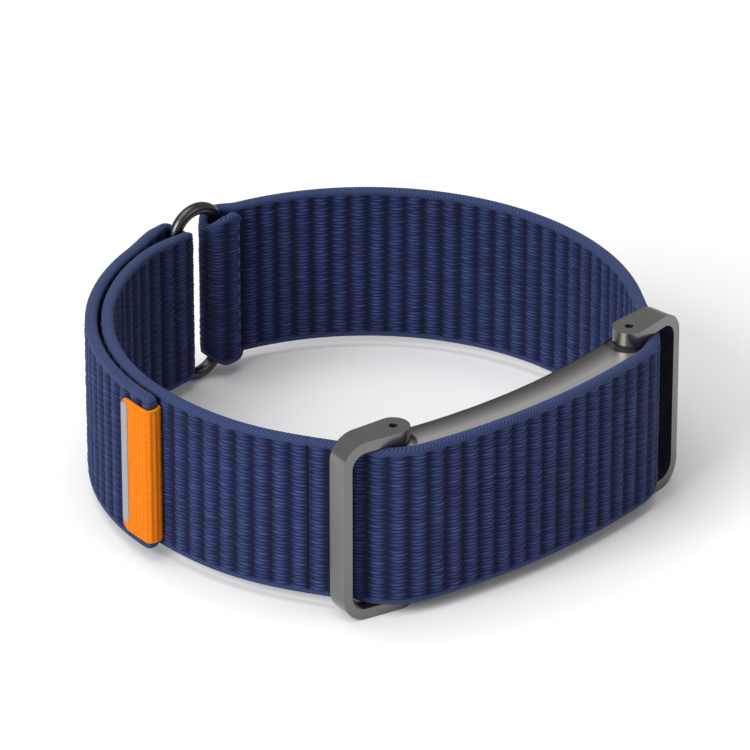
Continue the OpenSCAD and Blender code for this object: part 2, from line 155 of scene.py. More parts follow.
class NodePlan:
    """Adds nodes to one shader or geometry tree."""

    def __init__(self, tree: bpy.types.NodeTree) -> None:
        """Starts with an empty tree.

        Args:
            tree: the tree to fill.
        """
        self.tree = tree
        tree.nodes.clear()

    def add(
        self, kind: str, settings: Optional[dict] = None, values: Optional[dict] = None
    ) -> bpy.types.Node:
        """Adds one node.

        Args:
            kind: the node's type.
            settings: the node's own properties, set first; "stops" fills a colour ramp.
            values: what goes into its inputs, by name or number, each a constant, a Signal or a socket.

        Returns:
            The new node.
        """
        node = self.tree.nodes.new(kind)
        for name, value in (settings or {}).items():
            if name == "stops":
                elements = node.color_ramp.elements
                while len(elements) < len(value):
                    elements.new(0.5)
                for element, (place, colour) in zip(elements, value):
                    element.position = place
                    element.color = (*colour, 1.0)
            else:
                setattr(node, name, value)
        for key, value in (values or {}).items():
            if isinstance(value, Signal):
                self.tree.links.new(value.socket, node.inputs[key])
            elif isinstance(value, bpy.types.NodeSocket):
                self.tree.links.new(value, node.inputs[key])
            else:
                node.inputs[key].default_value = value
        return node

    def out(
        self, kind: str, settings: Optional[dict] = None, values: Optional[dict] = None,
        key: Union[str, int] = 0,
    ) -> Signal:
        """Adds one node and returns one of its outputs, with the arguments of add and the output's key."""
        return Signal(self, self.add(kind, settings, values).outputs[key])

    def math(self, operation: str, *numbers: Number) -> Signal:
        """Adds a Math node.

        Args:
            operation: the node's operation.
            numbers: its inputs in order.

        Returns:
            Its result.
        """
        return self.out("ShaderNodeMath", {"operation": operation}, dict(enumerate(numbers)))

    def mix(self, share: Number, low: object, high: object) -> Signal:
        """Mixes two colours, each a constant of four numbers or a Signal, by share."""
        settings = {"data_type": "RGBA", "blend_type": "MIX", "clamp_factor": True}
        return self.out("ShaderNodeMix", settings, {0: share, 6: low, 7: high}, 2)

    def noise(self, place: Signal, scale: float, detail: float = 2.0) -> Signal:
        """Returns noise from 0 to 1 at a place, scale in features per unit of it."""
        return self.out("ShaderNodeTexNoise", None, {"Vector": place, "Scale": scale, "Detail": detail})

    def vector(self, x: Number, y: Number, z: Number = 0.0) -> Signal:
        """Joins three numbers into a vector."""
        return self.out("ShaderNodeCombineXYZ", None, {"X": x, "Y": y, "Z": z})


def geometry_plan(name: str, inputs: dict[str, str]) -> tuple[NodePlan, bpy.types.Node, dict[str, str]]:
    """Starts a Geometry Nodes tree that takes geometry and named inputs and gives geometry.

    Args:
        name: the tree's name.
        inputs: the kind of each input beside the geometry, such as Float or Material, by name.

    Returns:
        Its plan, its input node and the identifiers of its named inputs.
    """
    tree = bpy.data.node_groups.new(name, "GeometryNodeTree")
    for way in ("INPUT", "OUTPUT"):
        tree.interface.new_socket("Geometry", in_out=way, socket_type="NodeSocketGeometry")
    keys = {}
    for label, kind in inputs.items():
        socket = tree.interface.new_socket(label, in_out="INPUT", socket_type="NodeSocket" + kind)
        keys[label] = socket.identifier
    plan = NodePlan(tree)
    return plan, plan.add("NodeGroupInput"), keys


def rgba(colour: Colour) -> tuple[float, float, float, float]:
    """Returns a colour with full alpha."""
    return (*colour, 1.0)


# ---------------------------------------------------------------- finishes


class Grain(Enum):
    """The fine relief of a coated or moulded surface."""

    SAND = "sand"
    BRUSHED = "brushed"
    SMOOTH = "smooth"


@dataclass(frozen=True)
class Finish(ABC):
    """A surface finish, made into one material that all its pieces share."""

    name: str

    def material(self) -> bpy.types.Material:
        """Returns the finish's material, built the first time that it is asked for."""
        made = bpy.data.materials.get(self.name)
        if made is not None:
            return made
        made = bpy.data.materials.new(self.name)
        made.use_nodes = True
        plan = NodePlan(made.node_tree)
        shader = plan.add("ShaderNodeBsdfPrincipled")
        self.paint(plan, shader)
        plan.add("ShaderNodeOutputMaterial", None, {"Surface": shader.outputs[0]})
        return made

    @abstractmethod
    def paint(self, plan: NodePlan, shader: bpy.types.Node) -> None:
        """Sets the shader's constants and feeds its inputs.

        Args:
            plan: the material's tree.
            shader: its Principled BSDF.
        """


def feed(plan: NodePlan, shader: bpy.types.Node, **inputs: object) -> None:
    """Sets a shader's inputs by name, with spaces written as underscores.

    Args:
        plan: the tree that the shader is in.
        shader: the shader node.
        inputs: constants or Signals.
    """
    for name, value in inputs.items():
        socket = shader.inputs[name.replace("_", " ")]
        if isinstance(value, Signal):
            plan.tree.links.new(value.socket, socket)
        else:
            socket.default_value = value


def raised(plan: NodePlan, height: Signal, depth: float, strength: float) -> Signal:
    """Returns a bumped normal from a height between 0 and 1, depth metres high."""
    return plan.out("ShaderNodeBump", None, {"Height": height, "Distance": depth, "Strength": strength})


@dataclass(frozen=True)
class Woven(Finish):
    """Ribbed woven tape, coloured by the painted shade of its grooves and yarn gaps, which its mesh carries
    as relief, and by the place and rim that it carries.

    The *_light pairs hold the darkest share of a colour and how much noise adds to it. The groove colour is
    painted shade for the ribs' grooves and the gaps between yarns.
    """

    crest: Colour
    groove: Colour
    selvage: Colour
    float_pitch: float
    stitch_pitch: float = 0.50 * MM
    sheen: float = 0.05
    yarn_light: Point = (0.42, 0.90)
    patch_light: Point = (0.70, 0.60)
    stitch_light: Point = (0.70, 0.50)
    stitch_dark: float = 0.36
    stitch_slope: float = 0.8
    fibre_shade: float = 0.30
    fuzz: float = 0.09 * MM

    def paint(self, plan: NodePlan, shader: bpy.types.Node) -> None:
        """Colours yarn crests, paints shade into the grooves and yarn gaps, and colours the selvage's
        slanting stitches and the fine fibres.
        """
        def read(name: str) -> Signal:
            return plan.out("ShaderNodeAttribute", {"attribute_name": name}, None, "Fac")

        along, across, height, rim = read("along"), read("across"), read("relief"), read("rim")
        fibres = plan.noise(plan.vector(along / MM, across * (7.0 / MM)), 2.2, 3.0)
        patches = plan.noise(plan.vector(along / MM, across / MM, 3.0), 0.55, 2.0)
        yarns = plan.noise(plan.vector(along * (0.45 / MM), across / self.float_pitch, 7.0), 1.3, 1.0)
        # painted shade: the relief attribute mixes the colour from the crest down to the groove colour
        lift = (height ** 1.25) * self.lit(self.yarn_light, yarns) * self.lit(self.patch_light, patches)
        face = plan.mix(lift.clamped(), rgba(self.groove), rgba(self.crest))
        rows = along / self.stitch_pitch + across / (self.stitch_slope * self.stitch_pitch)
        slant = (math.pi * rows).sin().abs()
        edge_dark = tuple(self.stitch_dark * part for part in self.selvage)
        edge_share = (slant ** 0.7) * self.lit(self.stitch_light, fibres)
        edge = plan.mix(edge_share, rgba(edge_dark), rgba(self.selvage))
        body = plan.mix(rim, face, edge)
        colour = plan.mix(self.fibre_shade * fibres, body, rgba(BLACK))
        relief = fibres * 0.5 + slant * rim * 0.9
        feed(
            plan, shader, Base_Color=colour, Roughness=0.9 - 0.12 * height, Sheen_Weight=self.sheen,
            Sheen_Roughness=0.45, Specular_IOR_Level=0.16, Normal=raised(plan, relief, self.fuzz, 0.9),
        )

    @staticmethod
    def lit(light: Point, noise: Signal) -> Signal:
        """Returns the share of a colour that a *_light pair leaves at a level of noise."""
        return light[0] + light[1] * noise


@dataclass(frozen=True)
class Coated(Finish):
    """A metal, plastic or coated surface with its own grain and slight unevenness."""

    colour: Colour
    metal: float = 0.0
    rough: float = 0.5
    grain: Grain = Grain.SAND
    grain_scale: float = 9000.0
    grain_depth: float = 0.004 * MM
    variation: float = 0.12
    coat: float = 0.0
    cloud_scale: float = 260.0
    brush_squash: float = 30.0

    def paint(self, plan: NodePlan, shader: bpy.types.Node) -> None:
        """Varies the colour and roughness over the piece and raises its grain."""
        place = plan.out("ShaderNodeTexCoord", None, None, "Object")
        clouds = plan.noise(place, self.cloud_scale, 3.0)
        if self.grain is Grain.BRUSHED:
            stretch = (1.0, self.brush_squash, self.brush_squash)
            drawn = plan.out("ShaderNodeMapping", None, {"Vector": place, "Scale": stretch})
            fine = plan.noise(drawn, self.grain_scale / self.brush_squash, 4.0)
        else:
            fine = plan.noise(place, self.grain_scale, 2.0)
        light = tuple(min(1.0, part * (1.0 + self.variation)) for part in self.colour)
        dark = tuple(part * (1.0 - self.variation) for part in self.colour)
        colour = plan.mix(clouds * 0.5 + fine * 0.5, rgba(dark), rgba(light))
        rough = (self.rough - 0.06) + 0.08 * clouds + 0.06 * fine
        feed(plan, shader, Base_Color=colour, Metallic=self.metal, Roughness=rough, Coat_Weight=self.coat)
        if self.grain is not Grain.SMOOTH:
            feed(plan, shader, Normal=raised(plan, fine, self.grain_depth, 0.6))


@dataclass(frozen=True)
class Burnished(Coated):
    """A coated metal with painted shade towards the wrist, over a band that follows the tracker's curve; the
    shade stands in for the dark reflection on its rounded wrist-side edge.

    The curve is centred on axis, and wrist_r is the radius of its wrist side.
    """

    axis: Point = (0.6 * MM, 56.49 * MM)
    wrist_r: float = 81.0 * MM
    band: float = 4.6 * MM
    fall_off: float = 2.2
    edge_tint: float = 0.05

    def paint(self, plan: NodePlan, shader: bpy.types.Node) -> None:
        """Paints the coat, then paints shade into its colour near the wrist side."""
        super().paint(plan, shader)
        place = plan.out("ShaderNodeTexCoord", None, None, "Object")
        parts = plan.add("ShaderNodeSeparateXYZ", None, {0: place})
        x, y = (Signal(plan, parts.outputs[i]) - self.axis[i] for i in (0, 1))
        # painted shade: the colour darkens towards the wrist side, down to the shade tint
        depth = (((x * x + y * y) ** 0.5 - self.wrist_r) / self.band).clamped()
        coat = shader.inputs["Base Color"].links[0].from_socket
        edge = tuple(self.edge_tint * part for part in self.colour)
        feed(plan, shader, Base_Color=plan.mix(depth ** self.fall_off, rgba(edge), Signal(plan, coat)))


@dataclass(frozen=True)
class TintedGlass(Finish):
    """Dark glass that lets a little light through to what lies behind it."""

    tint: Colour = (0.02, 0.025, 0.03)
    smear_tint: Colour = (0.035, 0.04, 0.05)

    def paint(self, plan: NodePlan, shader: bpy.types.Node) -> None:
        """Sets dark glass with a faintly uneven polish."""
        place = plan.out("ShaderNodeTexCoord", None, None, "Object")
        smear = plan.noise(place, 420.0, 3.0)
        feed(
            plan, shader, Base_Color=plan.mix(smear, rgba(self.tint), rgba(self.smear_tint)),
            Roughness=0.05 + 0.07 * smear, Specular_IOR_Level=0.6, Coat_Weight=0.4, Alpha=0.82,
        )


# the second colour of each webbing is painted shade for its grooves and the gaps between yarns
NAVY = Woven(
    "navy_webbing", (0.054, 0.087, 0.270), (0.0042, 0.0056, 0.030), (0.040, 0.062, 0.172), 0.45 * MM,
)
ORANGE = Woven(
    "orange_tab_webbing", (1.0, 0.315, 0.006), (0.72, 0.155, 0.002), (0.95, 0.27, 0.006), 0.36 * MM,
    0.40 * MM, 0.0,
)
THREAD = Coated("navy_thread", (0.03, 0.045, 0.15), 0.0, 0.85, grain_depth=0.02 * MM)
HOOKS = Coated("hook_tape_nylon", (0.012, 0.014, 0.026), 0.0, 0.6, grain_depth=0.02 * MM)
STRIPE = Coated(
    "reflective_tape", (0.27, 0.28, 0.305), 0.25, 0.42, grain_scale=6000.0, grain_depth=0.008 * MM,
)
RING_COAT = Coated(
    "gunmetal_ring", (0.075, 0.075, 0.077), 1.0, 0.24, grain_scale=5000.0, grain_depth=0.002 * MM,
)
BOW_COAT = Coated("satin_bow_coat", (0.180, 0.178, 0.173), 0.9, 0.20, grain_depth=0.004 * MM)
# painted shade: the pins are near black so that the pin bores read as dark shade
PIN_HOLE_SHADE = Coated("blackened_pin", (0.003, 0.003, 0.003), 0.0, 0.8, grain_depth=0.001 * MM)
WASHER = Coated("washer_plastic", (0.012, 0.012, 0.013), 0.0, 0.55)
# the housing's colour carries painted shade towards the wrist side
HOUSING = Burnished("blasted_housing", (0.50, 0.49, 0.475), 0.9, 0.36, grain_depth=0.004 * MM)
COVER = Coated("cover_plastic", (0.022, 0.022, 0.024), 0.0, 0.48, grain_scale=7000.0, grain_depth=0.008 * MM)
SEAL = Coated("seal_rubber", (0.014, 0.014, 0.014), 0.0, 0.8)
SCREW = Coated("screw_steel", (0.42, 0.42, 0.43), 0.95, 0.32, Grain.BRUSHED)
WINDOW = TintedGlass("sensor_glass")
SHIELD = Coated("shield_plastic", (0.008, 0.008, 0.009), 0.0, 0.6)
LENS = Coated("led_lens", (0.55, 0.70, 0.40), 0.0, 0.2, Grain.SMOOTH, coat=0.6)
DIODE = Coated("diode_chip", (0.03, 0.03, 0.09), 0.1, 0.22, Grain.SMOOTH, coat=0.5)
MASK = Coated("solder_mask", (0.012, 0.09, 0.04), 0.0, 0.38, grain_scale=3000.0, variation=0.3, coat=0.3)
CAN = Coated("pressed_can", (0.55, 0.55, 0.54), 0.95, 0.35, Grain.BRUSHED)
FOIL = Coated("cell_foil", (0.58, 0.58, 0.60), 0.9, 0.38, grain_scale=1500.0, grain_depth=0.02 * MM)
MOTOR = Coated("motor_steel", (0.50, 0.50, 0.51), 0.95, 0.3, Grain.BRUSHED)
GOLD = Coated("gold_plate", (0.83, 0.60, 0.22), 1.0, 0.25, grain_scale=12000.0)


# ---------------------------------------------------------------- meshes

SAME_PLACE = 0.001 * MM  # points of a CAD mesh that are closer than this are one point
FLAT_DEG = 1.0  # faces that meet at less than this angle are one flat


def make_object(
    name: str, points: np.ndarray, faces: np.ndarray, finish: Finish,
    marks: Optional[dict[str, np.ndarray]] = None,
) -> bpy.types.Object:
    """Makes a smooth mesh object with its place in its mesh.

    Args:
        name: the piece's name.
        points: its vertices, one row each.
        faces: its faces, one row of vertex numbers each, all with as many corners.
        finish: what it is made of.
        marks: float or vector attributes of its vertices, by name.

    Returns:
        The linked object.
    """
    mesh = bpy.data.meshes.new(name)
    mesh.from_pydata(points.tolist(), [], faces.tolist())
    for label, values in (marks or {}).items():
        kind, slot = ("FLOAT", "value") if values.ndim == 1 else ("FLOAT_VECTOR", "vector")
        attribute = mesh.attributes.new(label, kind, "POINT")
        attribute.data.foreach_set(slot, values.astype(np.float32).ravel())
    mesh.polygons.foreach_set("use_smooth", [True] * len(mesh.polygons))
    mesh.materials.append(finish.material())
    made = bpy.data.objects.new(name, mesh)
    bpy.context.scene.collection.objects.link(made)
    return made


def tube_faces(rings: int, sides: int, closed: bool) -> np.ndarray:
    """Returns the quads between rings of points.

    Args:
        rings: how many rings there are, one after the other.
        sides: how many points each ring has.
        closed: whether the last ring joins the first; if not, its two ends get their own caps elsewhere.
    """
    count = rings if closed else rings - 1
    first = np.arange(count)[:, None]
    side = np.arange(sides)[None, :]
    low, high = first * sides, (first + 1) % rings * sides
    after = (side + 1) % sides
    return np.stack([low + side, low + after, high + after, high + side], axis=-1).reshape(-1, 4)


def outward(item: bpy.types.Object) -> bpy.types.Object:
    """Points a closed mesh's faces outwards and returns it."""
    work = bmesh.new()
    work.from_mesh(item.data)
    bmesh.ops.remove_doubles(work, verts=work.verts, dist=0.1 * SAME_PLACE)
    bmesh.ops.recalc_face_normals(work, faces=work.faces)
    work.to_mesh(item.data)
    work.free()
    return item


def capped(item: bpy.types.Object, caps: list[list[int]]) -> bpy.types.Object:
    """Closes an open tube with flat faces, so that their rims stay sharp.

    Args:
        item: the tube.
        caps: the vertex numbers of each face that closes it.

    Returns:
        The tube, closed and with its faces pointing outwards.
    """
    work = bmesh.new()
    work.from_mesh(item.data)
    work.verts.ensure_lookup_table()
    for cap in caps:
        work.faces.new([work.verts[i] for i in cap])
    bmesh.ops.recalc_face_normals(work, faces=work.faces)
    work.to_mesh(item.data)
    work.free()
    return item


def baked(item: bpy.types.Object) -> bpy.types.Object:
    """Turns an object's modifiers into plain mesh and returns it."""
    graph = bpy.context.evaluated_depsgraph_get()
    graph.update()
    mesh = bpy.data.meshes.new_from_object(item.evaluated_get(graph), depsgraph=graph)
    item.modifiers.clear()
    item.data = mesh
    mesh.name = item.name
    return item


def angle_sharp(mesh: bpy.types.Mesh, degrees: float) -> None:
    """Keeps a smooth-shaded mesh's edges sharp where its faces meet at more than this angle."""
    mesh.set_sharp_from_angle(angle=math.radians(degrees))


def softened(node: str, name: str, finish: Finish, width: float, crease: float = 28.0) -> bpy.types.Object:
    """Copies a CAD node with its edges rounded.

    Args:
        node: the CAD node.
        name: the new piece's name.
        finish: what it is made of.
        width: how far the rounding reaches from each edge.
        crease: the angle in degrees from which an edge is rounded.

    Returns:
        The new piece, standing for the node and riding on its body.
    """
    source = frame["nodes"][node]
    mesh = bpy.data.meshes.new(name)
    work = bmesh.new()
    work.from_mesh(source.data)
    bmesh.ops.remove_doubles(work, verts=work.verts, dist=2 * SAME_PLACE)
    bmesh.ops.dissolve_degenerate(work, edges=work.edges, dist=SAME_PLACE)
    bmesh.ops.dissolve_limit(
        work, angle_limit=math.radians(FLAT_DEG), verts=work.verts, edges=work.edges, delimit={"NORMAL"}
    )
    work.to_mesh(mesh)
    work.free()
    mesh.materials.clear()
    mesh.materials.append(finish.material())
    mesh.shade_smooth()
    angle_sharp(mesh, crease)
    made = bpy.data.objects.new(name, mesh)
    bpy.context.scene.collection.objects.link(made)
    bevel = made.modifiers.new("round", "BEVEL")
    bevel.width = width
    bevel.segments = 2
    bevel.limit_method = "ANGLE"
    bevel.angle_limit = math.radians(crease)
    bevel.use_clamp_overlap = True
    bevel.harden_normals = True
    baked(made)
    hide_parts(node)
    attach(made, str(source["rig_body"]))
    return made


# ---------------------------------------------------------------- the strap's course


def polar(radius: float, degrees: float) -> np.ndarray:
    """Returns the point at a radius and an angle."""
    turn = math.radians(degrees)
    return radius * np.array([math.cos(turn), math.sin(turn)])


def blend_in(share: np.ndarray) -> np.ndarray:
    """Returns 0 to 1 with a soft start and end."""
    kept = np.clip(share, 0.0, 1.0)
    return kept * kept * (3.0 - 2.0 * kept)


def arc(centre: np.ndarray, radius: float, start: float, end: float, step: float = 1.0) -> list[np.ndarray]:
    """Returns points along an arc, its angles in degrees, no more than step apart."""
    count = max(1, math.ceil(abs(end - start) / step))
    return [centre + polar(radius, start + (end - start) * i / count) for i in range(count + 1)]


@dataclass
class StrapCourse:
    """The middle line of the one length of webbing, in millimetres, with the CAD model's own sizes.

    Directions are taken from the points that lie look before and behind a place.
    """

    loop_r: float = 33.5
    strap_w: float = 21.0
    strap_t: float = 1.4
    layer_gap: float = 0.6
    lap_len: float = 2.4
    front_r: float = 88.0
    turn_r: float = 8.0
    free_to: float = 179.7
    peel_len: float = 17.9
    wire_d: float = 1.6
    ring_w: float = 8.7
    fold_gap: float = 0.3
    pin_x: float = 19.0
    pin_y: float = -25.9
    core_x: float = 0.6
    boss_r: float = 2.05
    strap_gap: float = 0.2
    hug_dir: float = -52.0
    left_end_dir: float = -150.0
    fold_blend: float = 13.0
    lap_blend: float = 6.0
    layer_lead: float = 1.4
    left_pull: float = 9.0
    layer_pull: float = 12.5
    seat: float = 0.1
    strap_z: float = 1.5
    bow_lean: float = 8.0
    look: float = 0.35
    marks: dict[str, float] = field(default_factory=dict)

    def __post_init__(self) -> None:
        """Works out the course and where its stretches begin."""
        self.outer_r = self.loop_r + self.seat
        self.inner_r = self.outer_r - self.strap_t - self.layer_gap
        self.arch_r = (self.ring_w - self.wire_d) / 2
        self.ring_r = (self.inner_r + self.outer_r) / 2
        self.bar_r = math.hypot(self.ring_r, self.arch_r)
        self.bar_turn = math.degrees(math.atan(self.arch_r / self.ring_r))
        self.fold_r = self.wire_d / 2 + self.fold_gap + self.strap_t / 2
        self.peel_at = self.free_to - math.degrees(self.peel_len / self.outer_r)
        stretches = self.stretches()
        line: list[np.ndarray] = []
        for name, points in stretches:
            fresh = points if not line else points[1:]
            line.extend(fresh)
            self.marks[name] = float(len(line) - 1)
        self.line = np.array(line)
        steps = np.linalg.norm(np.diff(self.line, axis=0), axis=1)
        self.length = np.concatenate([[0.0], np.cumsum(steps)])
        self.marks = {name: float(self.length[int(at)]) for name, at in self.marks.items()}

    def eased(
        self, bar: float, r_bar: float, r_far: float, start: float, end: float, blend: float
    ) -> list[np.ndarray]:
        """Returns a stretch of the loop whose radius eases from r_bar at the ring's bar to r_far."""
        angles = np.linspace(start, end, max(4, math.ceil(abs(end - start) * 1.5)) + 1)
        shares = blend_in(np.abs(angles - bar) / blend)
        return [polar(r_bar + (r_far - r_bar) * s, a) for a, s in zip(angles, shares)]

    def stretches(self) -> list[tuple[str, list[np.ndarray]]]:
        """Returns the stretches in order, from the end of the sewn lap to the free end."""
        right_bar, left_bar = 90 - self.bar_turn, 90 + self.bar_turn
        hug = (self.turn_r - self.boss_r - self.strap_gap - self.strap_t / 2) * polar(1, self.hug_dir)
        turn_c = np.array([self.pin_x, self.pin_y]) - hug
        rise = math.sqrt((self.front_r - self.turn_r) ** 2 - turn_c[0] ** 2)
        front_c = np.array([self.core_x, turn_c[1] + rise])
        front_dir = math.degrees(math.atan2(turn_c[1] - front_c[1], turn_c[0]))
        right = np.array([self.core_x + turn_c[0], turn_c[1]])
        left = np.array([self.core_x - turn_c[0], turn_c[1]])
        lean = math.degrees(math.acos((self.loop_r - self.turn_r) / float(np.hypot(*right))))
        rear_to = math.degrees(math.atan2(right[1], right[0])) + lean
        lap_r = self.loop_r - self.strap_t - self.seat
        inner, outer = self.bar_r - self.fold_r, self.bar_r + self.fold_r
        layer_from = self.free_to - 360 + self.layer_lead
        lap_from = right_bar - math.degrees(self.lap_len / self.loop_r)
        return [
            ("lap", self.eased(right_bar, inner, lap_r, lap_from, right_bar, self.lap_blend)),
            ("fold_right", arc(polar(self.bar_r, right_bar), self.fold_r, right_bar + 180, right_bar, 6)),
            ("rear", self.eased(right_bar, outer, self.loop_r, right_bar, rear_to, self.lap_blend)),
            ("right_turn", arc(right, self.turn_r, rear_to, front_dir, 2)),
            ("front", arc(front_c, self.front_r, front_dir, -180 - front_dir, 0.5)),
            ("left_turn", arc(left, self.turn_r, -180 - front_dir, self.left_end_dir, 2)),
            ("left_side", self.left_side(left, layer_from)),
            ("inner_layer", self.eased(
                left_bar, inner, self.inner_r, layer_from + 360, left_bar, self.fold_blend
            )),
            ("fold_left", arc(polar(self.bar_r, left_bar), self.fold_r, left_bar + 180, left_bar + 360, 6)),
            ("outer_layer", self.eased(
                left_bar, outer, self.outer_r, left_bar, self.peel_at, self.fold_blend
            )),
            ("free_end", arc(np.zeros(2), self.outer_r, self.peel_at, self.free_to)),
        ]

    def left_side(self, left: np.ndarray, layer_from: float) -> list[np.ndarray]:
        """Returns the soft curve from the left turn, centred on left, to the inner layer."""
        p = left + polar(self.turn_r, self.left_end_dir)
        q = p + self.left_pull * polar(1, self.left_end_dir - 90)
        s = polar(self.inner_r, layer_from)
        r = s + self.layer_pull * polar(1, layer_from + 90)
        line = []
        for t in np.linspace(0, 1, 41):
            u = 1 - t
            line.append(u**3 * p + 3 * u * u * t * q + 3 * u * t * t * r + t**3 * s)
        return line

    def in_bow(self, points: np.ndarray, side: float) -> tuple[np.ndarray, np.ndarray]:
        """Returns where points in plan are as a bow sees them, along its arms and across them.

        Args:
            points: the points, one row each.
            side: -1 for the left bow, 1 for the right one.
        """
        x = side * (points[:, 0] - self.core_x) - self.pin_x
        y = points[:, 1] - self.pin_y
        lean = math.radians(self.bow_lean)
        return x * math.cos(lean) + y * math.sin(lean), y * math.cos(lean) - x * math.sin(lean)

    def at(self, places: np.ndarray) -> tuple[np.ndarray, np.ndarray]:
        """Finds places along the course.

        Args:
            places: distances from its start in millimetres.

        Returns:
            The points there and the sideways directions, to the left of the way the course runs.
        """
        def point(where: np.ndarray) -> np.ndarray:
            kept = np.clip(where, 0.0, self.length[-1])
            return np.stack([np.interp(kept, self.length, self.line[:, i]) for i in (0, 1)], axis=1)

        ahead = point(places + self.look) - point(places - self.look)
        ahead /= np.linalg.norm(ahead, axis=1)[:, None]
        return point(places), np.stack([-ahead[:, 1], ahead[:, 0]], axis=1)


# ---------------------------------------------------------------- woven strips


class WeaveRelief:
    """The Geometry Nodes tree that raises a smooth strip's faces into ribs of stacked yarn and stores their
    painted shade as relief.
    """

    SIZES = {
        "Rib Pitch": 2.4 * MM, "Float Pitch": 0.45 * MM, "Crest": 0.14 * MM, "Groove": 0.50 * MM,
        "Yarn Depth": 0.15 * MM, "Unevenness": 0.45,
    }
    SWAY = 0.05  # how far each yarn shifts its rib sideways, in ribs
    WANDER = 0.6  # how far the yarns stray up and down, in floats
    RIB_POWER, YARN_POWER = 1.15, 0.7  # how peaked a rib and a yarn are
    SHADE_POWERS = (1.2, 1.6)  # the same for the painted shade that they carry
    GAP_LIGHT, LOOSE_DARK = 0.06, 0.3  # painted shade: the light left in the gaps between yarns, and the light that a sunken yarn loses

    def __init__(self, name: str) -> None:
        """Builds the tree.

        Args:
            name: the tree's name.
        """
        kinds = {label: "Float" for label in self.SIZES}
        plan, given, self.keys = geometry_plan(name, {**kinds, "Cloth": "Material"})
        self.tree = plan.tree
        size = {label: Signal(plan, given.outputs[label]) for label in self.SIZES}
        along, across, rim = (self.read(plan, label) for label in ("along", "across", "rim"))
        whole = (along / size["Rib Pitch"]).floor()
        wander = plan.noise(plan.vector(whole * 1.7, across * (0.35 / MM)), 1.0, 1.0) - 0.5
        yarns = across / size["Float Pitch"] + whole * 0.5 + wander * self.WANDER
        sway = (math.pi * yarns).sin() * self.SWAY
        ribs = along / size["Rib Pitch"] + sway
        number = ribs.floor()
        hump = (math.pi * ribs.fract()).sin() ** self.RIB_POWER
        loose = plan.out(
            "ShaderNodeTexWhiteNoise", {"noise_dimensions": "2D"},
            {"Vector": plan.vector(yarns.floor(), number)}, "Value",
        )
        ridge = (math.pi * yarns.fract()).sin() ** self.YARN_POWER
        drop = (1.0 - ridge) * size["Yarn Depth"] + loose * size["Unevenness"] * size["Yarn Depth"]
        field_height = size["Crest"] - (1.0 - hump) * size["Groove"] - drop * hump
        lifted = field_height * (1.0 - rim)
        rib_power, yarn_power = self.SHADE_POWERS
        yarn_shade = self.GAP_LIGHT + (1.0 - self.GAP_LIGHT) * ridge ** yarn_power
        # painted shade: dark in the grooves, between yarns and on sunken yarns, kept as the relief attribute
        shade = ((hump ** rib_power) * yarn_shade * (1.0 - self.LOOSE_DARK * loose)).clamped()
        out = plan.out("GeometryNodeInputNamedAttribute", {"data_type": "FLOAT_VECTOR"}, {"Name": "rise"})
        offset = plan.out("ShaderNodeVectorMath", {"operation": "SCALE"}, {0: out, "Scale": lifted})
        moved = plan.out(
            "GeometryNodeSetPosition", None, {"Geometry": given.outputs["Geometry"], "Offset": offset}
        )
        kept = plan.out(
            "GeometryNodeStoreNamedAttribute", {"data_type": "FLOAT", "domain": "POINT"},
            {"Geometry": moved, "Name": "relief", "Value": shade},
        )
        real = plan.out("GeometryNodeRealizeInstances", None, {"Geometry": kept})
        worn = plan.out(
            "GeometryNodeSetMaterial", None, {"Geometry": real, "Material": given.outputs["Cloth"]}
        )
        plan.add("NodeGroupOutput", None, {"Geometry": worn})

    @staticmethod
    def read(plan: NodePlan, label: str) -> Signal:
        """Returns a named float attribute of the strip."""
        return plan.out("GeometryNodeInputNamedAttribute", {"data_type": "FLOAT"}, {"Name": label})

    def raise_on(self, strip: bpy.types.Object, finish: Finish, **sizes: float) -> bpy.types.Object:
        """Raises the weave on a strip and bakes it.

        Args:
            strip: the smooth strip.
            finish: what it is woven of.
            sizes: inputs that differ from the usual, spaces written as underscores.

        Returns:
            The strip as plain mesh.
        """
        modifier = strip.modifiers.new("weave", "NODES")
        modifier.node_group = self.tree
        named = {label.replace("_", " "): value for label, value in sizes.items()}
        for label, value in {**self.SIZES, **named}.items():
            modifier[self.keys[label]] = value
        modifier[self.keys["Cloth"]] = finish.material()
        baked(strip)
        strip.data.attributes.remove(strip.data.attributes["rise"])
        return strip


